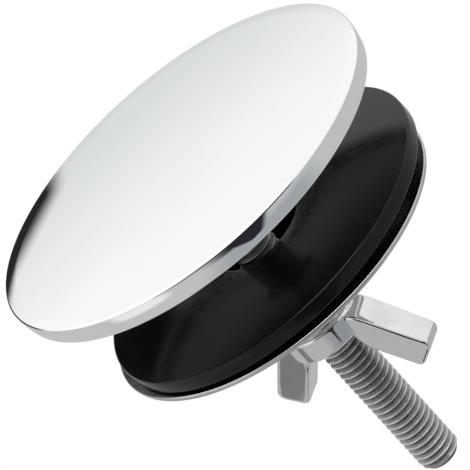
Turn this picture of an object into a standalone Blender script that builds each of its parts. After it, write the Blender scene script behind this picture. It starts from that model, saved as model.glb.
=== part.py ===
"""Cover for an unused tap hole: a polished disc on a threaded stud, clamped by a seal, a plate and a wing nut.

The origin is the centre of the disc's rim, in the plane that sits on the deck. The stud hangs along -Z.
At rest the wings of the nut lie along X.
"""

import math

import bmesh
import bpy
from mathutils import Matrix, Vector

MM = 0.001

# Cover cap
COVER_RADIUS = 27.5 * MM
COVER_HEIGHT = 2.9 * MM
RIM_TAPER = 0.45 * MM
COVER_WALL = 1.4 * MM
CROWN = 0.4 * MM
COVER_EDGE_ROUND = 0.25 * MM
BOSS_WALL = 0.8 * MM
BOSS_LENGTH = 4.4 * MM

# Threaded stud. A crest passes +X at THREAD_START and at every pitch above and below it
THREAD_RADIUS = 2.98 * MM
THREAD_PITCH = 1.0 * MM
THREAD_DEPTH = 0.61 * MM
THREAD_START = 0.67 * MM
CREST_FLAT = 0.125 * MM
STUD_LENGTH = 54.4 * MM
TIP_RADIUS = 2.3 * MM
TIP_CHAMFER = 0.9 * MM

# Rubber seal, which lies a little askew on the plate and has slipped as far as the boss lets it
SEAL_RADIUS = 24.0 * MM
SEAL_THICKNESS = 2.1 * MM
SEAL_EDGE_ROUND = 0.3 * MM
SEAL_LEAN = math.radians(2.87)
SEAL_LOW_SIDE = math.radians(226.8)
SEAL_SLIP_SIDE = math.radians(18.7)

# Backing plate, dished towards the nut, which has slipped as far as the stud lets it
PLATE_LIP = 0.1 * MM       # how far the plate's radius passes the seal's
PLATE_THICKNESS = 0.8 * MM
PLATE_EDGE_ROUND = 0.3 * MM
PLATE_SLIP_SIDE = math.radians(42.2)
FLANGE_WIDTH = 4.1 * MM
FLANGE_DEPTH = 14.6 * MM
DISH_DEPTH = 6.8 * MM
DISH_FLOOR_RADIUS = 8.5 * MM

# Wing nut
NECK_HEIGHT = 2.7 * MM
HUB_SHOULDER = 0.4 * MM
HUB_HEIGHT = 3.55 * MM
HUB_CHAMFER = 0.4 * MM
WING_REACH = 13.2 * MM
WING_DROP = 9.25 * MM
WING_WIDTH = 4.75 * MM
WING_SLOPE = math.radians(51.0)
WING_THICKNESS = 4.6 * MM
WING_EDGE_ROUND = 0.75 * MM
WING_OUTER_ROUND = 1.0 * MM
WING_TIP_ROUND = 0.9 * MM
WING_BEND_ROUND = 2.5 * MM

# Fits
SEAT_GAP = 0.3 * MM
THREAD_CLEARANCE = 0.3 * MM
SEAL_PLAY = 2.2 * MM       # room between the seal's hole and the boss
PLATE_PLAY = 1.2 * MM      # room between the plate's bore and the stud
NECK_LAND = 0.2 * MM       # least cover of the nut's neck on the plate round its bore
WING_ROOM = 1.45 * MM      # room between the wings and the stud

# Fineness
DISC_STEPS = 64
THREAD_STEPS = 16
ROUND_STEPS = 2
CROWN_STEPS = 4
ROUND_SHARE = 0.45         # most of a wall that the rounding of one of its edges may take
MERGE_DISTANCE = 0.01 * MM
SHARP_ANGLE = math.radians(35.0)

# Radii worked out from the sizes above
STUD_HOLE_RADIUS = THREAD_RADIUS + SEAT_GAP
BOSS_RADIUS = STUD_HOLE_RADIUS + BOSS_WALL
SEAL_HOLE_RADIUS = BOSS_RADIUS + SEAL_PLAY
SEAL_SLIP = SEAL_PLAY - SEAT_GAP
PLATE_RADIUS = SEAL_RADIUS + PLATE_LIP
PLATE_BORE_RADIUS = THREAD_RADIUS + PLATE_PLAY
PLATE_SLIP = PLATE_PLAY - SEAT_GAP
NECK_RADIUS = PLATE_BORE_RADIUS + PLATE_SLIP + NECK_LAND
HUB_RADIUS = NECK_RADIUS + HUB_SHOULDER
WING_ROOT_RADIUS = THREAD_RADIUS + WING_ROOM

# Heights worked out from the sizes above
CEILING_Z = COVER_HEIGHT - COVER_WALL
BOSS_Z = CEILING_Z - BOSS_LENGTH
STUD_TOP_Z = CEILING_Z - SEAT_GAP
STUD_TIP_Z = STUD_TOP_Z - STUD_LENGTH
FLANGE_Z = -FLANGE_DEPTH
DISH_UNDERSIDE_Z = FLANGE_Z - DISH_DEPTH - PLATE_THICKNESS
SEAL_UNDERSIDE_Z = FLANGE_Z + SEAT_GAP + SEAL_RADIUS * math.sin(SEAL_LEAN)
NUT_BASE_Z = DISH_UNDERSIDE_Z - SEAT_GAP
HUB_TOP_Z = NUT_BASE_Z - NECK_HEIGHT
HUB_LOW_Z = HUB_TOP_Z - HUB_HEIGHT


def clear_scene():
    for item in list(bpy.data.objects):
        bpy.data.objects.remove(item, do_unlink=True)


def new_collection(name):
    collection = bpy.data.collections.new(name)
    bpy.context.scene.collection.children.link(collection)
    return collection


def new_material(name, colour, roughness, metallic):
    material = bpy.data.materials.new(name)
    material.use_nodes = True
    shader = material.node_tree.nodes["Principled BSDF"]
    shader.inputs["Base Color"].default_value = (*colour, 1.0)
    shader.inputs["Roughness"].default_value = roughness
    shader.inputs["Metallic"].default_value = metallic
    return material


def add_object(name, mesh, collection, material=None):
    item = bpy.data.objects.new(name, mesh)
    collection.objects.link(item)
    if material:
        mesh.materials.append(material)
    return item


def hide_guide(item):
    item.hide_render = True
    item.display_type = "WIRE"


def baked_mesh(item):
    """The mesh that an object's modifiers or curve settings make, as a mesh of its own."""
    bpy.context.view_layer.update()
    evaluated = item.evaluated_get(bpy.context.evaluated_depsgraph_get())
    return bpy.data.meshes.new_from_object(evaluated)


def shade_round(item):
    item.data.shade_smooth()
    item.data.set_sharp_from_angle(angle=SHARP_ANGLE)


def round_corner(before, corner, after, radius, steps=ROUND_STEPS):
    """Points of an arc that rounds the corner between two straight runs of a section."""
    if radius <= 0.0:
        return [corner]
    corner = Vector(corner)
    back = (Vector(before) - corner).normalized()
    ahead = (Vector(after) - corner).normalized()
    half_angle = back.angle(ahead) / 2.0
    centre = corner + (back + ahead).normalized() * (radius / math.sin(half_angle))
    start = corner + back * (radius / math.tan(half_angle)) - centre
    end = corner + ahead * (radius / math.tan(half_angle)) - centre
    return [tuple(centre + start.slerp(end, i / steps) * radius) for i in range(steps + 1)]


def rounded_outline(corners, steps=ROUND_STEPS):
    """A closed outline from (x, z, rounding radius) corners."""
    points = []
    for index, (x, z, radius) in enumerate(corners):
        before = corners[index - 1][:2]
        after = corners[(index + 1) % len(corners)][:2]
        points += round_corner(before, (x, z), after, radius, steps)
    return points


def section_mesh(name, points, closed):
    """A section in the XZ plane, at +X, that runs down its outer side."""
    last = len(points) - 1
    edges = [(i, i + 1) for i in range(last)]
    if closed:
        edges.append((last, 0))
    mesh = bpy.data.meshes.new(name)
    mesh.from_pydata([(x, 0.0, z) for x, z in points], edges, [])
    return mesh


def add_screw(item, steps, rise=0.0):
    screw = item.modifiers.new("Turn", "SCREW")
    screw.axis = "Z"
    screw.angle = math.tau
    screw.screw_offset = rise
    screw.steps = steps
    screw.render_steps = steps
    screw.use_merge_vertices = True
    screw.merge_threshold = MERGE_DISTANCE
    screw.use_smooth_shade = False


def turned(name, points, collection, material=None, closed=False, steps=DISC_STEPS):
    item = add_object(name, section_mesh(name, points, closed), collection)
    add_screw(item, steps)
    mesh = baked_mesh(item)
    mesh.name = name
    item.modifiers.clear()
    item.data = mesh
    if material:
        mesh.materials.append(material)
    shade_round(item)
    return item


def add_boolean(item, cutter, operation):
    boolean = item.modifiers.new(cutter.name, "BOOLEAN")
    boolean.operation = operation
    boolean.solver = "EXACT"
    boolean.object = cutter


def threaded_rod(name, radius, low_z, high_z, collection):
    """A closed rod with a right-hand thread, which reaches past both heights.

    Every rod made here has its crests at the same heights, whatever its ends, so a nut cut by one fits the other.
    """
    root_radius = radius - THREAD_DEPTH
    first_turn = math.floor(low_z / THREAD_PITCH) - 2
    last_turn = math.ceil(high_z / THREAD_PITCH) + 1
    points = []
    for turn in range(last_turn, first_turn - 1, -1):
        crest_z = THREAD_START + turn * THREAD_PITCH
        points.append((root_radius, crest_z + THREAD_PITCH / 2.0))
        points.append((radius, crest_z + CREST_FLAT / 2.0))
        points.append((radius, crest_z - CREST_FLAT / 2.0))
    points.append((root_radius, points[-1][1] + CREST_FLAT / 2.0 - THREAD_PITCH / 2.0))
    rod = add_object(name, section_mesh(name, points, False), collection)
    add_screw(rod, THREAD_STEPS, THREAD_PITCH)
    mesh = baked_mesh(rod)
    mesh.name = name
    rod.modifiers.clear()
    rod.data = mesh
    shape = bmesh.new()
    shape.from_mesh(mesh)
    bmesh.ops.remove_doubles(shape, verts=shape.verts, dist=MERGE_DISTANCE)
    open_edges = [edge for edge in shape.edges if edge.is_boundary]
    bmesh.ops.holes_fill(shape, edges=open_edges, sides=0)
    bmesh.ops.recalc_face_normals(shape, faces=shape.faces)
    shape.to_mesh(mesh)
    shape.free()
    return rod


def make_cover_cap(parts, material):
    rim_radius = COVER_RADIUS - RIM_TAPER
    inner_rim_radius = rim_radius - COVER_WALL
    inner_top_radius = COVER_RADIUS - COVER_WALL
    crown_reach = COVER_RADIUS - COVER_EDGE_ROUND
    points = []
    for step in range(CROWN_STEPS):
        share = step / CROWN_STEPS
        points.append((crown_reach * share, COVER_HEIGHT + CROWN * (1.0 - share * share)))
    points += round_corner((0.0, COVER_HEIGHT), (COVER_RADIUS, COVER_HEIGHT), (rim_radius, 0.0), COVER_EDGE_ROUND)
    points += [
        (rim_radius, 0.0),
        (inner_rim_radius, 0.0),
        (inner_top_radius, CEILING_Z),
        (BOSS_RADIUS, CEILING_Z),
        (BOSS_RADIUS, BOSS_Z),
        (STUD_HOLE_RADIUS, BOSS_Z),
        (STUD_HOLE_RADIUS, CEILING_Z),
        (0.0, CEILING_Z),
    ]
    return turned("cover_cap", points, parts, material)


def make_threaded_stud(parts, guides, material):
    stud = threaded_rod("threaded_stud", THREAD_RADIUS, STUD_TIP_Z, STUD_TOP_Z, parts)
    stud.data.materials.append(material)
    outside = THREAD_RADIUS + THREAD_DEPTH
    chamfer_slope = TIP_CHAMFER / (THREAD_RADIUS - TIP_RADIUS)
    shoulder_z = STUD_TIP_Z + (outside - TIP_RADIUS) * chamfer_slope
    blank = turned(
        "stud_blank",
        [(0.0, STUD_TOP_Z), (outside, STUD_TOP_Z), (outside, shoulder_z), (TIP_RADIUS, STUD_TIP_Z), (0.0, STUD_TIP_Z)],
        guides,
        steps=DISC_STEPS // 2,
    )
    hide_guide(blank)
    add_boolean(stud, blank, "INTERSECT")
    return stud


def slipped(distance, side, height):
    """Centre of a loose piece that has slipped off the stud's axis towards one side."""
    return Vector((distance * math.cos(side), distance * math.sin(side), height))


def make_rubber_seal(parts, material):
    top = SEAL_THICKNESS
    corners = [
        (SEAL_HOLE_RADIUS, top, 0.0),
        (SEAL_RADIUS, top, SEAL_EDGE_ROUND),
        (SEAL_RADIUS, 0.0, SEAL_EDGE_ROUND),
        (SEAL_HOLE_RADIUS, 0.0, 0.0),
    ]
    seal = turned("rubber_seal", rounded_outline(corners), parts, material, closed=True)
    hinge_line = Vector((-math.sin(SEAL_LOW_SIDE), math.cos(SEAL_LOW_SIDE), 0.0))
    place = slipped(SEAL_SLIP, SEAL_SLIP_SIDE, SEAL_UNDERSIDE_Z)
    seal.matrix_world = Matrix.Translation(place) @ Matrix.Rotation(SEAL_LEAN, 4, hinge_line)
    return seal


def make_backing_plate(parts, material):
    flange_inner = PLATE_RADIUS - FLANGE_WIDTH
    wall_shift = PLATE_THICKNESS * math.tan(math.atan2(DISH_DEPTH, flange_inner - DISH_FLOOR_RADIUS) / 2.0)
    floor_top = -DISH_DEPTH
    corners = [
        (flange_inner, 0.0, 0.0),
        (PLATE_RADIUS, 0.0, PLATE_EDGE_ROUND),
        (PLATE_RADIUS, -PLATE_THICKNESS, PLATE_EDGE_ROUND),
        (flange_inner - wall_shift, -PLATE_THICKNESS, 0.0),
        (DISH_FLOOR_RADIUS - wall_shift, floor_top - PLATE_THICKNESS, 0.0),
        (PLATE_BORE_RADIUS, floor_top - PLATE_THICKNESS, 0.0),
        (PLATE_BORE_RADIUS, floor_top, 0.0),
        (DISH_FLOOR_RADIUS, floor_top, 0.0),
    ]
    plate = turned("backing_plate", rounded_outline(corners), parts, material, closed=True)
    plate.location = slipped(PLATE_SLIP, PLATE_SLIP_SIDE, FLANGE_Z)
    return plate


def wing_outline():
    """One wing in the XZ plane: out of the hub, down its outer edge, across its end and up its inner edge."""
    steepness = math.tan(WING_SLOPE)
    outer_tip_z = HUB_TOP_Z - WING_DROP
    inner_tip_x = WING_REACH - WING_WIDTH * math.sin(WING_SLOPE)
    inner_tip_z = outer_tip_z - WING_WIDTH * math.cos(WING_SLOPE)
    shoulder_z = HUB_TOP_Z - HUB_CHAMFER
    shoulder_x = WING_REACH - (shoulder_z - outer_tip_z) / steepness
    bend_z = inner_tip_z + (inner_tip_x - WING_ROOT_RADIUS) * steepness
    buried_x = THREAD_RADIUS
    buried_z = HUB_LOW_Z + HUB_CHAMFER
    return [
        (buried_x, shoulder_z, 0.0),
        (shoulder_x, shoulder_z, 0.0),
        (WING_REACH, outer_tip_z, WING_OUTER_ROUND),
        (inner_tip_x, inner_tip_z, WING_TIP_ROUND),
        (WING_ROOT_RADIUS, bend_z, WING_BEND_ROUND),
        (WING_ROOT_RADIUS, buried_z, 0.0),
        (buried_x, buried_z, 0.0),
    ]


def make_wing(name, guides):
    """A slab of the wing's outline with rounded edges, no rounder than the slab and its root in the hub allow."""
    points = rounded_outline(wing_outline())
    root_height = HUB_HEIGHT - 2.0 * HUB_CHAMFER
    edge_round = min(WING_EDGE_ROUND, ROUND_SHARE * WING_THICKNESS, ROUND_SHARE * root_height)
    curve = bpy.data.curves.new(name, "CURVE")
    curve.dimensions = "2D"
    curve.fill_mode = "BOTH"
    curve.extrude = WING_THICKNESS / 2.0 - edge_round
    curve.bevel_depth = edge_round
    curve.bevel_resolution = 1
    curve.offset = -edge_round
    spline = curve.splines.new("POLY")
    spline.points.add(len(points) - 1)
    for point, (x, z) in zip(spline.points, points):
        point.co = (x, z, 0.0, 1.0)
    spline.use_cyclic_u = True
    drawn = add_object(name, curve, guides)
    mesh = baked_mesh(drawn)
    bpy.data.objects.remove(drawn)
    shape = bmesh.new()
    shape.from_mesh(mesh)
    bmesh.ops.remove_doubles(shape, verts=shape.verts, dist=MERGE_DISTANCE)
    bmesh.ops.rotate(shape, verts=shape.verts, matrix=Matrix.Rotation(math.pi / 2.0, 3, "X"))
    bmesh.ops.recalc_face_normals(shape, faces=shape.faces)
    shape.to_mesh(mesh)
    shape.free()
    return add_object(name, mesh, guides)


def make_wing_nut(parts, guides, material):
    points = [
        (0.0, NUT_BASE_Z),
        (NECK_RADIUS, NUT_BASE_Z),
        (NECK_RADIUS, HUB_TOP_Z),
        (HUB_RADIUS - HUB_CHAMFER, HUB_TOP_Z),
        (HUB_RADIUS, HUB_TOP_Z - HUB_CHAMFER),
        (HUB_RADIUS, HUB_LOW_Z + HUB_CHAMFER),
        (HUB_RADIUS - HUB_CHAMFER, HUB_LOW_Z),
        (0.0, HUB_LOW_Z),
    ]
    nut = turned("wing_nut", points, parts, material, steps=DISC_STEPS // 2)
    for name, turn in (("right_wing", 0.0), ("left_wing", math.pi)):
        wing = make_wing(name, guides)
        wing.rotation_euler.z = turn
        hide_guide(wing)
        add_boolean(nut, wing, "UNION")
    low_z = HUB_LOW_Z - WING_WIDTH
    tap = threaded_rod("nut_tap", THREAD_RADIUS + THREAD_CLEARANCE, low_z, NUT_BASE_Z, guides)
    hide_guide(tap)
    add_boolean(nut, tap, "DIFFERENCE")
    return nut


def build():
    clear_scene()
    parts = new_collection("faucet_hole_cover")
    guides = new_collection("guides")
    chrome = new_material("chrome", (0.86, 0.87, 0.88), 0.04, 1.0)
    zinc = new_material("zinc_plated_steel", (0.55, 0.55, 0.56), 0.28, 1.0)
    rubber = new_material("black_rubber", (0.012, 0.012, 0.013), 0.16, 0.0)
    pressed = new_material("plated_plate", (0.72, 0.72, 0.73), 0.12, 1.0)
    cast = new_material("plated_casting", (0.70, 0.70, 0.71), 0.15, 1.0)
    make_cover_cap(parts, chrome)
    make_threaded_stud(parts, guides, zinc)
    make_rubber_seal(parts, rubber)
    make_backing_plate(parts, pressed)
    make_wing_nut(parts, guides, cast)


build()
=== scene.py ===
import math

import bmesh
import bpy
from mathutils import Matrix, Vector


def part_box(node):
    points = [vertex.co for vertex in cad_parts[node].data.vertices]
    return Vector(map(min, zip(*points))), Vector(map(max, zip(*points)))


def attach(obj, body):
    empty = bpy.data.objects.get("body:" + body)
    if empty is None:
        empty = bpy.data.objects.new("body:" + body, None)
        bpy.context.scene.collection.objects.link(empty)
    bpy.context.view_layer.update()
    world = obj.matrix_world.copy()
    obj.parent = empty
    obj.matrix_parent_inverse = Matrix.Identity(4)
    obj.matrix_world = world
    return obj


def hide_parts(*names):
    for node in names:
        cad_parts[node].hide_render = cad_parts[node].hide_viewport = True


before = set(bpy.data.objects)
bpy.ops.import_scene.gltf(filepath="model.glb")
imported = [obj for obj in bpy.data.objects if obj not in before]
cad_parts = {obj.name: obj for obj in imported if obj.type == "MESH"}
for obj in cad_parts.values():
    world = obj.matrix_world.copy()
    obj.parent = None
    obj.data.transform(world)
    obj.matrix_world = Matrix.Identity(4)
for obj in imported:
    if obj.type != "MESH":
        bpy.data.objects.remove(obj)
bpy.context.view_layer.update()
mm = 0.001
nearly = 0.002 * mm          # two places closer than this are the same place

# Camera, fitted to the photograph's frame
print("camera")
photoView = {
    "framePixels": 470,
    "focalPixels": 3267.3,
    "aimHeight": 2.9 * mm,   # the cover's face, at its edge
    "away": 369.4 * mm,
    "above": 159.9 * mm,
    "side": math.radians(42.19),  # how far the camera is turned round the stud
    "yaw": math.radians(-0.112),
    "pitch": math.radians(25.03),
    "roll": math.radians(42.25),
}


def makeCamera(view):
    yaw, pitch, roll = view["yaw"], view["pitch"], view["roll"]
    forward = Vector((math.sin(yaw) * math.cos(pitch), math.cos(yaw) * math.cos(pitch), -math.sin(pitch)))
    right = Vector((math.cos(yaw), -math.sin(yaw), 0.0))
    down = forward.cross(right)
    across = right * math.cos(roll) + down * math.sin(roll)
    downwards = down * math.cos(roll) - right * math.sin(roll)
    turned = Matrix((across, -downwards, -forward)).transposed().to_4x4()
    place = Matrix.Translation((0.0, -view["away"], view["aimHeight"] + view["above"]))
    camera = bpy.data.objects.new("photo_camera", bpy.data.cameras.new("photo_camera"))
    bpy.context.scene.collection.objects.link(camera)
    camera.matrix_world = Matrix.Rotation(view["side"], 4, "Z") @ place @ turned
    camera.data.lens = view["focalPixels"] / view["framePixels"] * camera.data.sensor_width
    bpy.context.scene.camera = camera


makeCamera(photoView)
bpy.context.scene.view_settings.view_transform = "Standard"


# Shader maths: sums on a wrapped output add Math nodes, and node() adds any other kind
class Signal:
    def __init__(self, tree, socket=None):
        self.tree = tree
        self.socket = socket

    def node(self, kind, settings, sockets, output=0):
        made = self.tree.nodes.new(kind)
        for name, value in settings.items():
            setattr(made, name, value)
        for name, value in sockets.items():
            if isinstance(value, Signal):
                self.tree.links.new(value.socket, made.inputs[name])
            else:
                made.inputs[name].default_value = value
        return Signal(self.tree, made.outputs[output])

    def maths(self, operation, first, second=0.0):
        return self.node("ShaderNodeMath", {"operation": operation}, {0: first, 1: second})

    def __add__(self, other):
        return self.maths("ADD", self, other)

    def __radd__(self, other):
        return self.maths("ADD", other, self)

    def __sub__(self, other):
        return self.maths("SUBTRACT", self, other)

    def __rsub__(self, other):
        return self.maths("SUBTRACT", other, self)

    def __mul__(self, other):
        return self.maths("MULTIPLY", self, other)

    def __rmul__(self, other):
        return self.maths("MULTIPLY", other, self)

    def __pow__(self, other):
        return self.maths("POWER", self, other)

    def most(self, other):
        return self.maths("MAXIMUM", self, other)

    def least(self, other):
        return self.maths("MINIMUM", self, other)

    def size(self):
        return self.maths("ABSOLUTE", self)

    def root(self):
        return self.maths("SQRT", self)

    def toward(self, other, share):
        # this at a share of 0, the other at 1
        return self * (1.0 - share) + other * share

    def ease(self, low, high, start=0.0, end=1.0):
        # from start at low to end at high, smoothly
        return self.node(
            "ShaderNodeMapRange",
            {"interpolation_type": "SMOOTHSTEP"},
            {"Value": self, "From Min": low, "From Max": high, "To Min": start, "To Max": end},
        )

    def noise(self, place, scale, detail=3.0, roughness=0.5):
        sockets = {"Vector": place, "Scale": scale, "Detail": detail, "Roughness": roughness}
        return self.node("ShaderNodeTexNoise", {}, sockets)

    def blend(self, share, first, second):
        # two colours, by a share from 0 to 1
        return self.node("ShaderNodeMix", {"data_type": "RGBA"}, {0: share, 6: first, 7: second}, output=2)


def paint(colour):
    return (*colour, 1.0)


def newMaterial(name):
    material = bpy.data.materials.new(name)
    material.use_nodes = True
    tree = material.node_tree
    shader = tree.nodes["Principled BSDF"]
    signal = Signal(tree)
    place = signal.node("ShaderNodeTexCoord", {}, {}, output="Object")
    return material, signal, shader, place


def plug(signal, shader, name):
    signal.tree.links.new(signal.socket, shader.inputs[name])


def millimetres(place, axes=3):
    # x, y and z of a place on the piece, or only the first of them
    split = [place.node("ShaderNodeSeparateXYZ", {}, {0: place}, output=axis) for axis in range(axes)]
    return [axis * (1.0 / mm) for axis in split]


def fromAxis(x, y):
    # distance from the stud's axis
    return (x * x + y * y).root()


def cloudy(noise, look):
    return noise.blend(noise.ease(*look["cloudSpan"]), paint(look["colour"]), paint(look["clouded"]))


def addBump(height, shader, look):
    sockets = {"Strength": look["bump"], "Distance": look["bumpDepth"], "Height": height}
    plug(height.node("ShaderNodeBump", {}, sockets), shader, "Normal")


# Finishes; a span is the two noise values that a finish changes between
print("finishes")
chromeFinish = {
    "colour": (0.94, 0.945, 0.95),
    "clouded": (0.915, 0.925, 0.935),
    "cloudScale": 60.0,
    "cloudSpan": (0.35, 0.7),
    "roughness": (0.012, 0.035),
    "hairScale": 900.0,
    "hairSpan": (0.3, 0.8),
    "bump": 0.004,
    "bumpDepth": 0.1 * mm,
    "inside": (0.6, 0.6, 0.61),  # the hollow underside, taken to be left satin
    "insideRoughness": 0.36,
    "insideRadius": 26.4,    # mm
    "insideHeight": 2.2,     # mm
    "insideEdge": 0.1,       # mm
}
zincFinish = {
    # crest is a painted highlight along the thread's crests, root a painted shade in its roots, flank the
    # tone between
    "crest": (0.62, 0.615, 0.605),
    "flank": (0.34, 0.34, 0.342),
    "root": (0.28, 0.28, 0.282),
    "rootRadius": 2.37,      # mm
    "flankRadius": 2.72,     # mm
    "crestRadius": 2.97,     # mm
    "crestHighlightFalloff": 2.0,     # higher keeps the painted highlight line narrower
    "mottle": 0.2,           # how much the grain shades the flanks
    "mottleLow": 0.85,
    "roughness": (0.46, 0.6),
    "crestRoughness": 0.22,  # worn smoother by the nut
    "grainScale": 1800.0,
    "grainSpan": (0.3, 0.75),
    "bump": 0.01,
    "bumpDepth": 0.1 * mm,
}
rubberFinish = {
    "colour": (0.004, 0.004, 0.005),
    "clouded": (0.010, 0.010, 0.011),  # a faint bloom
    "bloomScale": 120.0,
    "cloudSpan": (0.4, 0.75),
    "roughness": (0.1, 0.2),
    "grainScale": 1500.0,
    "bloomInGloss": 0.5,     # the bloom's share in the gloss; the grain has the rest
    "glossSpan": (0.35, 0.7),
    "specular": 0.2,
    "bump": 0.015,
    "bumpDepth": 0.1 * mm,
}
plateFinish = {
    "colour": (0.62, 0.62, 0.615),
    "clouded": (0.52, 0.525, 0.53),
    "cloudScale": 180.0,
    "cloudSpan": (0.35, 0.7),
    "roughness": (0.16, 0.25),
    "glossSpan": (0.3, 0.75),
    "ringScale": 3.2,        # pressing lines in a millimetre
    "bump": 0.006,
    "bumpDepth": 0.05 * mm,
}
castingFinish = {
    "colour": (0.78, 0.78, 0.775),
    "clouded": (0.69, 0.695, 0.70),
    "waveScale": 260.0,
    "cloudSpan": (0.35, 0.7),
    "roughness": (0.04, 0.09),
    "grainScale": 2400.0,
    "waveInGloss": 0.6,      # the wave's share in the gloss; the grain has the rest
    "glossSpan": (0.35, 0.7),
    "waveInBump": 0.7,
    "bump": 0.02,
    "bumpDepth": 0.1 * mm,
}


def chromeMaterial(look):
    material, signal, shader, place = newMaterial("mirror_chrome")
    x, y, z = millimetres(place)
    cloud = signal.noise(place, look["cloudScale"])
    hairs = signal.noise(place, look["hairScale"], detail=4.0)
    radius, height, edge = look["insideRadius"], look["insideHeight"], look["insideEdge"]
    within = fromAxis(x, y).ease(radius - edge, radius + edge, 1.0, 0.0)
    inside = within * z.ease(height - edge, height + edge, 1.0, 0.0)
    plug(signal.blend(inside, cloudy(cloud, look), paint(look["inside"])), shader, "Base Color")
    polish = hairs.ease(*look["hairSpan"], *look["roughness"])
    plug(polish + inside * look["insideRoughness"], shader, "Roughness")
    addBump(hairs, shader, look)
    shader.inputs["Metallic"].default_value = 1.0
    return material


def zincMaterial(look):
    material, signal, shader, place = newMaterial("zinc_plate")
    reach = fromAxis(*millimetres(place, 2))
    grain = signal.noise(place, look["grainScale"], detail=4.0)
    mottled = grain * look["mottle"] + look["mottleLow"]
    # painted shade towards the thread's roots and a painted highlight along its crests, both by distance
    # from the axis
    pastRootShade = reach.ease(look["rootRadius"], look["flankRadius"]) * mottled
    flank = signal.blend(pastRootShade, paint(look["root"]), paint(look["flank"]))
    crest = reach.ease(look["flankRadius"], look["crestRadius"]) ** look["crestHighlightFalloff"]
    plug(signal.blend(crest, flank, paint(look["crest"])), shader, "Base Color")
    gloss = grain.ease(*look["grainSpan"], *look["roughness"])
    plug(gloss.toward(look["crestRoughness"], crest), shader, "Roughness")
    addBump(grain, shader, look)
    shader.inputs["Metallic"].default_value = 1.0
    return material


def rubberMaterial(look):
    material, signal, shader, place = newMaterial("black_rubber")
    bloom = signal.noise(place, look["bloomScale"], detail=5.0, roughness=0.6)
    grain = signal.noise(place, look["grainScale"])
    plug(cloudy(bloom, look), shader, "Base Color")
    gloss = grain.toward(bloom, look["bloomInGloss"])
    plug(gloss.ease(*look["glossSpan"], *look["roughness"]), shader, "Roughness")
    addBump(grain, shader, look)
    shader.inputs["Specular IOR Level"].default_value = look["specular"]
    return material


def plateMaterial(look):
    material, signal, shader, place = newMaterial("bright_plate")
    reach = fromAxis(*millimetres(place, 2))
    wave = signal.maths("SINE", reach * (look["ringScale"] * math.tau))
    cloud = signal.noise(place, look["cloudScale"], detail=4.0)
    plug(cloudy(cloud, look), shader, "Base Color")
    plug(cloud.ease(*look["glossSpan"], *look["roughness"]), shader, "Roughness")
    addBump(wave, shader, look)
    shader.inputs["Metallic"].default_value = 1.0
    return material


def castingMaterial(look):
    material, signal, shader, place = newMaterial("polished_casting")
    wave = signal.noise(place, look["waveScale"], detail=2.0)
    grain = signal.noise(place, look["grainScale"])
    plug(cloudy(wave, look), shader, "Base Color")
    gloss = grain.toward(wave, look["waveInGloss"])
    plug(gloss.ease(*look["glossSpan"], *look["roughness"]), shader, "Roughness")
    addBump(grain.toward(wave, look["waveInBump"]), shader, look)
    shader.inputs["Metallic"].default_value = 1.0
    return material


# Modelling by hand, in steps that several pieces share
turnedSharp = math.radians(34.0)  # steeper edges stay sharp on turned pieces
cutSharp = math.radians(40.0)     # and on cut ones


def freshStart():
    bpy.ops.object.select_all(action="DESELECT")


def mergePoints():
    bpy.ops.mesh.select_all(action="SELECT")
    bpy.ops.mesh.remove_doubles(threshold=nearly)


def settle():
    # the selected object's place, turn and scale go into its mesh
    bpy.ops.object.transform_apply(location=True, rotation=True, scale=True)


def firstPoint(name, x, z):
    # a small plane, drawn together into the one point that an outline grows from
    freshStart()
    bpy.ops.mesh.primitive_plane_add(size=mm, location=(x, 0.0, z))
    piece = bpy.context.object
    piece.name = name
    piece.data.name = name
    bpy.ops.object.mode_set(mode="EDIT")
    bpy.ops.mesh.select_mode(type="VERT")
    bpy.ops.mesh.select_all(action="SELECT")
    bpy.ops.mesh.merge(type="CENTER")
    return piece


def selectWhere(piece, wanted):
    # points for which wanted(place) is true; the mesh is in edit mode
    bpy.ops.mesh.select_mode(type="VERT")
    bpy.ops.mesh.select_all(action="DESELECT")
    shape = bmesh.from_edit_mesh(piece.data)
    for point in shape.verts:
        point.select = bool(wanted(piece.matrix_world @ point.co))
    shape.select_flush_mode()
    bmesh.update_edit_mesh(piece.data)


def drawOutline(name, corners, closed, roundSteps=5):
    # an outline in the XZ plane from (x, z, rounding) corners, left in edit mode
    piece = firstPoint(name, *corners[0][:2])
    ring = corners[1:] + corners[:1] if closed else corners[1:]
    before = corners[0]
    for corner in ring:
        step = (corner[0] - before[0], 0.0, corner[1] - before[1])
        bpy.ops.mesh.extrude_vertices_move(TRANSFORM_OT_translate={"value": step})
        before = corner
    mergePoints()
    for x, z, rounding in corners:
        if rounding > 0.0:
            here = Vector((x, 0.0, z))
            selectWhere(piece, lambda place: (place - here).length < nearly)
            bpy.ops.mesh.bevel(
                offset_type="OFFSET", offset=rounding, segments=roundSteps, affect="VERTICES",
                clamp_overlap=True,
            )
    return piece


def finishMesh(piece, sharpAngle=None):
    # merged, facing out, with its place in its mesh
    mergePoints()
    bpy.ops.mesh.normals_make_consistent(inside=False)
    bpy.ops.object.mode_set(mode="OBJECT")
    settle()
    if sharpAngle is not None:
        bpy.ops.object.shade_smooth_by_angle(angle=sharpAngle)


def turnOutline(name, corners, closed, steps):
    piece = drawOutline(name, corners, closed)
    bpy.ops.mesh.select_all(action="SELECT")
    bpy.ops.mesh.spin(steps=steps, angle=math.tau, center=(0.0, 0.0, 0.0), axis=(0.0, 0.0, 1.0))
    finishMesh(piece, turnedSharp)
    return piece


def onlyThis(piece):
    freshStart()
    piece.select_set(True)
    bpy.context.view_layer.objects.active = piece


def applyModifier(piece, kind, **settings):
    onlyThis(piece)
    modifier = piece.modifiers.new(kind.lower(), kind)
    for name, value in settings.items():
        setattr(modifier, name, value)
    bpy.ops.object.modifier_apply(modifier=modifier.name)


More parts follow.
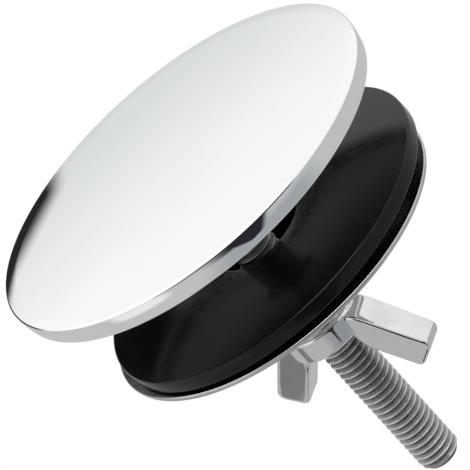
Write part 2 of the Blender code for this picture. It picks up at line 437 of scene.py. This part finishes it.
def applyBoolean(piece, cutter, operation):
    applyModifier(piece, "BOOLEAN", operation=operation, solver="EXACT", object=cutter)
    bpy.data.objects.remove(cutter)
    # the cut leaves pairs of points almost on each other
    bpy.ops.object.mode_set(mode="EDIT")
    mergePoints()
    bpy.ops.object.mode_set(mode="OBJECT")


def dress(piece, material, node, body):
    piece.data.materials.clear()
    piece.data.materials.append(material)
    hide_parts(node)
    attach(piece, body)
    print("  " + piece.name, len(piece.data.polygons), "faces")


# Cover disc
print("cover disc")
coverDisc = {
    "faceHeight": 2.9 * mm,  # at the edge; the crown rises above it
    "taper": 0.45 * mm,      # how far the rim draws in towards the deck
    "wall": 1.4 * mm,
    "edgeRound": 0.25 * mm,
    "lowerRound": 0.3 * mm,
    "bossRadius": 4.08 * mm,
    "bossLength": 4.4 * mm,
    "studHole": 3.28 * mm,
    "innerRound": 0.25 * mm,
    "crownRings": 14,
    "rimRings": 8,
    "steps": 192,
}


def makeCoverDisc(sizes):
    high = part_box("cover_cap")[1]
    radius, height = high.x, sizes["faceHeight"]
    crown = high.z - height
    rings, rimRings = sizes["crownRings"], sizes["rimRings"]
    corners = []
    for ring in range(rings):
        share = ring / rings
        corners.append((radius * share, height + crown * (1.0 - share * share), 0.0))
    corners.append((radius, height, sizes["edgeRound"]))
    for ring in range(1, rimRings):
        share = ring / rimRings
        corners.append((radius - sizes["taper"] * share * share, height * (1.0 - share), 0.0))
    rimRadius = radius - sizes["taper"]
    ceiling = height - sizes["wall"]
    boss = ceiling - sizes["bossLength"]
    corners += [
        (rimRadius, 0.0, sizes["lowerRound"]),
        (rimRadius - sizes["wall"], 0.0, sizes["innerRound"]),
        (radius - sizes["wall"], ceiling, sizes["innerRound"]),
        (sizes["bossRadius"], ceiling, sizes["innerRound"]),
        (sizes["bossRadius"], boss, sizes["innerRound"]),
        (sizes["studHole"], boss, 0.0),
        (sizes["studHole"], ceiling, 0.0),
        (0.0, ceiling, 0.0),
    ]
    return turnOutline("cover_disc", corners, closed=False, steps=sizes["steps"])


disc = makeCoverDisc(coverDisc)
dress(disc, chromeMaterial(chromeFinish), "cover_cap", "cover")


# Threads, for the stud and for the nut's bore
thread = {
    "radius": 2.98 * mm,
    "pitch": 1.0 * mm,
    "depth": 0.61 * mm,
    "start": 0.67 * mm,      # a crest passes +X at this height
    "crestFlat": 0.125 * mm,
    "crestRound": 0.04 * mm,
    "roundSteps": 2,
    "spareTurns": 2,         # past each end, before the ends are cut square
    "steps": 56,
    "tipRadius": 2.3 * mm,
    "tipChamfer": 0.9 * mm,
    "boreClearance": 0.3 * mm,
    "boreOverrun": 1.0 * mm,  # how far the cutter runs past the nut
}


def makeThread(name, sizes, radius, low, high):
    pitch, flat = sizes["pitch"], sizes["crestFlat"]
    root = radius - sizes["depth"]
    firstTurn = math.floor((low - sizes["start"]) / pitch) - sizes["spareTurns"]
    turns = math.ceil((high - low) / pitch) + 2 * sizes["spareTurns"]
    crest = sizes["start"] + firstTurn * pitch
    corners = [
        (root, crest + pitch / 2.0, 0.0),
        (radius, crest + flat / 2.0, sizes["crestRound"]),
        (radius, crest - flat / 2.0, sizes["crestRound"]),
        (root, crest - pitch / 2.0, 0.0),
    ]
    piece = drawOutline(name, corners, closed=False, roundSteps=sizes["roundSteps"])
    bpy.ops.object.mode_set(mode="OBJECT")
    settle()
    applyModifier(
        piece, "SCREW", axis="Z", angle=math.tau, screw_offset=pitch, iterations=turns,
        steps=sizes["steps"], render_steps=sizes["steps"], use_merge_vertices=True, merge_threshold=nearly,
    )
    bpy.ops.object.mode_set(mode="EDIT")
    mergePoints()
    for height, way in ((high, 1.0), (low, -1.0)):
        # the operator's own threshold is 0.1 mm, several steps of the thread
        bpy.ops.mesh.select_all(action="SELECT")
        bpy.ops.mesh.bisect(
            plane_co=(0.0, 0.0, height), plane_no=(0.0, 0.0, way), use_fill=True, clear_outer=True,
            threshold=nearly,
        )
    finishMesh(piece)
    return piece


def makeStud(sizes):
    low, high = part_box("threaded_stud")
    outside = sizes["radius"] + sizes["depth"]
    slope = sizes["tipChamfer"] / (sizes["radius"] - sizes["tipRadius"])
    stud = makeThread("stud", sizes, sizes["radius"], low.z - sizes["pitch"], high.z + sizes["pitch"])
    corners = [
        (0.0, high.z, 0.0),
        (outside, high.z, 0.0),
        (outside, low.z + (outside - sizes["tipRadius"]) * slope, 0.0),
        (sizes["tipRadius"], low.z, 0.0),
        (0.0, low.z, 0.0),
    ]
    blank = turnOutline("stud_blank", corners, closed=False, steps=sizes["steps"])
    applyBoolean(stud, blank, "INTERSECT")
    bpy.ops.object.shade_smooth_by_angle(angle=cutSharp)
    return stud


print("threaded stud")
stud = makeStud(thread)
dress(stud, zincMaterial(zincFinish), "threaded_stud", "cover")

# Rubber seal, which lies askew on the plate
print("rubber seal")
rubberSeal = {
    "radius": 24.0 * mm,
    "thickness": 2.1 * mm,
    "hole": 6.28 * mm,
    "edgeRound": 0.3 * mm,
    "holeRound": 0.2 * mm,
    "lean": math.radians(2.87),
    "lowSide": math.radians(226.8),  # the side that hangs lowest, from +X towards +Y
    "centre": (1.7997 * mm, 0.6092 * mm, -13.098 * mm),  # the middle of its underside
    "steps": 160,
}


def makeSeal(sizes):
    corners = [
        (sizes["hole"], sizes["thickness"], sizes["holeRound"]),
        (sizes["radius"], sizes["thickness"], sizes["edgeRound"]),
        (sizes["radius"], 0.0, sizes["edgeRound"]),
        (sizes["hole"], 0.0, sizes["holeRound"]),
    ]
    seal = turnOutline("seal_ring", corners, closed=True, steps=sizes["steps"])
    hingeLine = Vector((-math.sin(sizes["lowSide"]), math.cos(sizes["lowSide"]), 0.0))
    seal.matrix_world = Matrix.Translation(sizes["centre"]) @ Matrix.Rotation(sizes["lean"], 4, hingeLine)
    settle()
    return seal


seal = makeSeal(rubberSeal)
dress(seal, rubberMaterial(rubberFinish), "rubber_seal", "seal")

# Backing plate, dished towards the nut
print("backing plate")
backingPlate = {
    "radius": 24.1 * mm,
    "thickness": 0.8 * mm,
    "flangeWidth": 4.1 * mm,
    "dishDepth": 6.8 * mm,
    "floorRadius": 8.5 * mm,
    "bore": 4.18 * mm,
    "edgeRound": 0.25 * mm,
    "edgeLean": 0.2 * mm,    # how far the edge draws in towards the nut
    "innerBend": 0.9 * mm,
    "outerBend": 1.5 * mm,
    "boreRound": 0.15 * mm,
    "steps": 160,
}


def makePlate(sizes):
    low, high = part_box("backing_plate")
    centre = (low + high) / 2.0
    thickness, depth, top = sizes["thickness"], sizes["dishDepth"], high.z
    flangeInner = sizes["radius"] - sizes["flangeWidth"]
    shift = thickness * math.tan(math.atan2(depth, flangeInner - sizes["floorRadius"]) / 2.0)
    corners = [
        (flangeInner, top, sizes["innerBend"]),
        (sizes["radius"], top, sizes["edgeRound"]),
        (sizes["radius"] - sizes["edgeLean"], top - thickness, sizes["edgeRound"]),
        (flangeInner - shift, top - thickness, sizes["outerBend"]),
        (sizes["floorRadius"] - shift, top - depth - thickness, sizes["innerBend"]),
        (sizes["bore"], top - depth - thickness, sizes["boreRound"]),
        (sizes["bore"], top - depth, sizes["boreRound"]),
        (sizes["floorRadius"], top - depth, sizes["outerBend"]),
    ]
    plate = turnOutline("dished_plate", corners, closed=True, steps=sizes["steps"])
    plate.location = (centre.x, centre.y, 0.0)
    settle()
    return plate


plate = makePlate(backingPlate)
dress(plate, plateMaterial(plateFinish), "backing_plate", "plate")

# Wing nut: a turned hub and two wings, run together as in a casting
print("wing nut")
wingNut = {
    "neckRadius": 5.28 * mm,
    "neckHeight": 2.7 * mm,
    "hubRadius": 5.68 * mm,
    "hubHeight": 3.55 * mm,
    "hubRound": 0.45 * mm,
    "wingReach": 13.05 * mm,
    "wingDrop": 9.25 * mm,
    "wingWidth": 4.5 * mm,
    "wingSlope": math.radians(51.0),
    "wingThickness": 4.6 * mm,
    "wingRoot": 4.2 * mm,
    "tipTaper": 0.93,        # the tip's thickness as a share of the root's
    "tipRound": 0.8 * mm,
    "tipOuterRound": 1.2 * mm,
    "bendRound": 1.8 * mm,
    "edgeRound": 1.25 * mm,
    "roundSteps": 6,
    "edgeSteps": 5,
    "voxel": 0.12 * mm,
    "smoothing": 7,          # passes
    "smoothShare": 0.5,
    "steps": 128,
}


def wingCorners(sizes, hubTop, hubLow, buried):
    steepness = math.tan(sizes["wingSlope"])
    outerTip = hubTop - sizes["wingDrop"]
    innerTipX = sizes["wingReach"] - sizes["wingWidth"] * math.sin(sizes["wingSlope"])
    innerTip = outerTip - sizes["wingWidth"] * math.cos(sizes["wingSlope"])
    shoulder = hubTop - sizes["hubRound"]
    shoulderX = sizes["wingReach"] - (shoulder - outerTip) / steepness
    bend = innerTip + (innerTipX - sizes["wingRoot"]) * steepness
    return [
        (buried, shoulder, 0.0),
        (shoulderX, shoulder, sizes["edgeRound"]),
        (sizes["wingReach"], outerTip, sizes["tipOuterRound"]),
        (innerTipX, innerTip, sizes["tipRound"]),
        (sizes["wingRoot"], bend, sizes["bendRound"]),
        (sizes["wingRoot"], hubLow + sizes["hubRound"], 0.0),
        (buried, hubLow + sizes["hubRound"], 0.0),
    ]


def makeWing(name, sizes, hubTop, hubLow, turn):
    corners = wingCorners(sizes, hubTop, hubLow, thread["radius"])
    wing = drawOutline(name, corners, closed=True, roundSteps=sizes["roundSteps"])
    bpy.ops.mesh.select_all(action="SELECT")
    bpy.ops.mesh.edge_face_add()
    thickness = sizes["wingThickness"]
    bpy.ops.mesh.extrude_region_move(TRANSFORM_OT_translate={"value": (0.0, thickness, 0.0)})
    bpy.ops.mesh.select_all(action="SELECT")
    bpy.ops.transform.translate(value=(0.0, -thickness / 2.0, 0.0))
    bpy.ops.mesh.select_mode(type="EDGE")
    bpy.ops.mesh.select_all(action="DESELECT")
    shape = bmesh.from_edit_mesh(wing.data)
    for edge in shape.edges:
        edge.select = abs(edge.verts[0].co.y - edge.verts[1].co.y) < nearly
    bmesh.update_edit_mesh(wing.data)
    bpy.ops.mesh.bevel(
        offset=sizes["edgeRound"], segments=sizes["edgeSteps"], affect="EDGES", clamp_overlap=True
    )
    tipHeight = hubTop - sizes["wingDrop"] + sizes["tipOuterRound"]
    selectWhere(wing, lambda place: place.z < tipHeight)
    bpy.ops.transform.resize(value=(1.0, sizes["tipTaper"], 1.0))
    finishMesh(wing)
    wing.rotation_euler.z = turn
    settle()
    return wing


def makeWingNut(sizes):
    low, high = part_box("wing_nut")
    base = high.z
    hubTop = base - sizes["neckHeight"]
    hubLow = hubTop - sizes["hubHeight"]
    corners = [
        (0.0, base, 0.0),
        (sizes["neckRadius"], base, 0.0),
        (sizes["neckRadius"], hubTop, 0.0),
        (sizes["hubRadius"], hubTop, sizes["hubRound"]),
        (sizes["hubRadius"], hubLow, sizes["hubRound"]),
        (0.0, hubLow, 0.0),
    ]
    nut = turnOutline("wing_nut_body", corners, closed=False, steps=sizes["steps"])
    for name, turn in (("right_wing", 0.0), ("left_wing", math.pi)):
        applyBoolean(nut, makeWing(name, sizes, hubTop, hubLow, turn), "UNION")
    applyModifier(nut, "REMESH", mode="VOXEL", voxel_size=sizes["voxel"], adaptivity=0.0)
    applyModifier(nut, "SMOOTH", factor=sizes["smoothShare"], iterations=sizes["smoothing"])
    boreRadius, boreTop = thread["radius"] + thread["boreClearance"], base + thread["boreOverrun"]
    bore = makeThread("nut_bore", thread, boreRadius, low.z, boreTop)
    applyBoolean(nut, bore, "DIFFERENCE")
    bpy.ops.object.shade_smooth_by_angle(angle=cutSharp)
    return nut


nut = makeWingNut(wingNut)
dress(nut, castingMaterial(castingFinish), "wing_nut", "nut")

# Studio: pale floor, soft lamps, and cards that only glossy surfaces see
# side and rise are in degrees, and lengths are in metres where no other unit is given
print("studio")
studio = {
    "floorHeight": -130.0 * mm,
    "floorSize": 4.0,
    "floorColour": (0.54, 0.55, 0.555),  # as reflections see it
    "paper": (0.95, 0.95, 0.95),         # what the shadow falls on
    "backdrop": (1.0, 1.0, 1.0),
    "shadowReach": (70.0, 112.0),        # mm from the stud, where the shadow fades into the backdrop
    "skyLight": 0.5,                     # its strength on matt surfaces; seen or mirrored, it is 1
}
lamps = {
    "key_lamp": {"side": 10.0, "rise": 62.0, "away": 0.9, "size": 0.7, "power": 3.2},
    "fill_lamp": {"side": 205.0, "rise": 58.0, "away": 0.9, "size": 0.7, "power": 2.2},
}
cards = {
    "front_card": {"side": 14.0, "rise": -44.0, "away": 0.125, "width": 0.185, "height": 0.1,
                   "shade": (0.37, 0.39, 0.405), "soft": 0.6},
    "rim_card": {"side": -60.0, "rise": -21.0, "away": 0.1, "width": 0.07, "height": 0.035,
                 "shade": (0.85, 0.85, 0.85), "soft": 0.5},
    "low_card": {"side": -50.0, "rise": -68.0, "away": 0.11, "width": 0.03, "height": 0.04,
                 "shade": (0.05, 0.05, 0.055), "soft": 0.4},
    "seal_card": {"side": 227.0, "rise": 5.0, "away": 0.045, "width": 0.06, "height": 0.022,
                  "shade": (0.02, 0.02, 0.021), "soft": 0.25},
    "wing_card": {"side": -93.9, "rise": -53.4, "away": 0.052, "width": 0.013, "height": 0.018,
                  "shade": (0.24, 0.243, 0.247), "soft": 0.45},
    "back_card": {"side": 180.0, "rise": 6.0, "away": 0.6, "width": 1.2, "height": 0.5,
                  "shade": (0.70, 0.72, 0.72), "soft": 0.6},
    "face_card": {"side": 0.0, "rise": 26.0, "away": 0.6, "width": 1.2, "height": 0.42,
                  "shade": (0.70, 0.72, 0.72), "soft": 0.6},
}
darkCard = {                 # stands upright on the camera's side; its patch hangs below it
    "away": 0.1,
    "size": 0.27,
    "shade": (0.022, 0.021, 0.029),
    "leftEdge": -118.0,      # these are mm on the card, from the height of the origin
    "rightEdge": 62.0,
    "lowEdge": -38.0,
    "topEdge": 8.0,          # low enough that the face, seen from behind, doesn't turn black
    "patchLow": -54.0,
    "patchLeft": -32.0,
    "patchFade": 20.0,       # its left end fades over this much on either side
    "patchRight": 35.0,
    "patchLean": 0.24,       # how its right edge leans
    "patchSlant": -1.5,      # how its low edge falls towards the right
    "patchSlantLow": -73.0,
    "soft": 5.0,
}


def aimAt(item, side, rise, away):
    # side is measured round the stud from the camera's side, to the right; rise is above the horizon
    angle = photoView["side"] - math.pi / 2.0 + math.radians(side)
    flat = math.cos(math.radians(rise))
    outwards = Vector((flat * math.cos(angle), flat * math.sin(angle), math.sin(math.radians(rise))))
    item.rotation_mode = "QUATERNION"
    item.rotation_quaternion = outwards.to_track_quat("Z", "Y")
    item.location = outwards * away


def makeLamp(name, sizes):
    lamp = bpy.data.objects.new(name, bpy.data.lights.new(name, "AREA"))
    bpy.context.scene.collection.objects.link(lamp)
    lamp.data.shape = "DISK"
    lamp.data.size = sizes["size"]
    lamp.data.energy = sizes["power"]
    aimAt(lamp, sizes["side"], sizes["rise"], sizes["away"])


def setSurface(material, mixed, shader):
    # the mixed surface takes the place of the shader that a new material has
    output = material.node_tree.nodes["Material Output"]
    material.node_tree.links.new(mixed.socket, output.inputs["Surface"])
    material.node_tree.nodes.remove(shader)


def makeCard(name, width, height, shade, shape):
    # a glowing sheet that only glossy surfaces see; shape(x, y) is its outline as a mask, in mm
    freshStart()
    bpy.ops.mesh.primitive_plane_add(size=1.0)
    card = bpy.context.object
    card.name = name
    card.scale = (width, height, 1.0)
    bpy.ops.object.transform_apply(location=False, rotation=False, scale=True)
    card.visible_camera = False
    card.visible_diffuse = False
    card.visible_shadow = False
    material, signal, shader, place = newMaterial(name)
    outline = shape(*millimetres(place, 2))
    glow = signal.node("ShaderNodeEmission", {}, {"Color": paint(shade), "Strength": 1.0})
    gone = signal.node("ShaderNodeBsdfTransparent", {}, {})
    mixed = signal.node("ShaderNodeMixShader", {}, {0: outline, 1: gone, 2: glow})
    setSurface(material, mixed, shader)
    card.data.materials.append(material)
    return card


def makeSoftCard(name, sizes):
    halfWidth, halfHeight = sizes["width"] / mm / 2.0, sizes["height"] / mm / 2.0
    clear = 1.0 - sizes["soft"]

    def shape(x, y):
        across = x.size().ease(halfWidth * clear, halfWidth, 1.0, 0.0)
        return across * y.size().ease(halfHeight * clear, halfHeight, 1.0, 0.0)

    card = makeCard(name, sizes["width"], sizes["height"], sizes["shade"], shape)
    aimAt(card, sizes["side"], sizes["rise"], sizes["away"])


def makeDarkCard(name, sizes):
    soft = sizes["soft"]

    def above(value, edge):
        return (value - edge).ease(-soft, soft)

    def shape(x, y):
        sheet = above(x, sizes["leftEdge"]) * (1.0 - above(x, sizes["rightEdge"]))
        sheet = sheet * above(y, sizes["lowEdge"]) * (1.0 - above(y, sizes["topEdge"]))
        slant = x * sizes["patchSlant"] + sizes["patchSlantLow"]
        left, fade = sizes["patchLeft"], sizes["patchFade"]
        patch = above(y, slant.least(sizes["patchLow"])) * x.ease(left - fade, left + fade)
        patch = patch * (1.0 - above(x - y * sizes["patchLean"], sizes["patchRight"]))
        # it ends within the sheet, past the sheet's own soft edge
        patch = patch * (1.0 - above(y, sizes["lowEdge"] + 2.0 * soft))
        return sheet.most(patch)

    card = makeCard(name, sizes["size"], sizes["size"], sizes["shade"], shape)
    aimAt(card, 0.0, 0.0, sizes["away"])


def rayKinds(signal):
    kinds = ("Is Camera Ray", "Is Glossy Ray", "Is Transmission Ray")
    return [signal.node("ShaderNodeLightPath", {}, {}, output=kind) for kind in kinds]


def makeFloor(sizes):
    freshStart()
    bpy.ops.mesh.primitive_plane_add(size=sizes["floorSize"], location=(0.0, 0.0, sizes["floorHeight"]))
    floor = bpy.context.object
    floor.name = "floor"
    material, signal, shader, place = newMaterial("floor_paper")
    camera, glossy, through = rayKinds(signal)
    pastShadow = fromAxis(*millimetres(place, 2)).ease(*sizes["shadowReach"])
    seen = (camera * pastShadow).most(glossy).most(through)
    colour = signal.blend(camera, paint(sizes["floorColour"]), paint(sizes["backdrop"]))
    glow = signal.node("ShaderNodeEmission", {}, {"Color": colour, "Strength": 1.0})
    matt = signal.node("ShaderNodeBsdfDiffuse", {}, {"Color": paint(sizes["paper"])})
    mixed = signal.node("ShaderNodeMixShader", {}, {0: seen, 1: matt, 2: glow})
    # from below, the object is seen through the floor
    below = signal.node("ShaderNodeNewGeometry", {}, {}, output="Backfacing")
    gone = signal.node("ShaderNodeBsdfTransparent", {}, {})
    mixed = signal.node("ShaderNodeMixShader", {}, {0: below, 1: mixed, 2: gone})
    setSurface(material, mixed, shader)
    floor.data.materials.append(material)


def makeSky(sizes):
    world = bpy.data.worlds.new("sky")
    bpy.context.scene.world = world
    world.use_nodes = True
    signal = Signal(world.node_tree)
    camera, glossy, through = rayKinds(signal)
    seen = camera.most(glossy).most(through)
    strength = seen * (1.0 - sizes["skyLight"]) + sizes["skyLight"]
    background = world.node_tree.nodes["Background"]
    background.inputs["Color"].default_value = paint(sizes["backdrop"])
    world.node_tree.links.new(strength.socket, background.inputs["Strength"])


makeFloor(studio)
makeSky(studio)
for name, sizes in lamps.items():
    makeLamp(name, sizes)
for name, sizes in cards.items():
    makeSoftCard(name, sizes)
makeDarkCard("dark_card", darkCard)
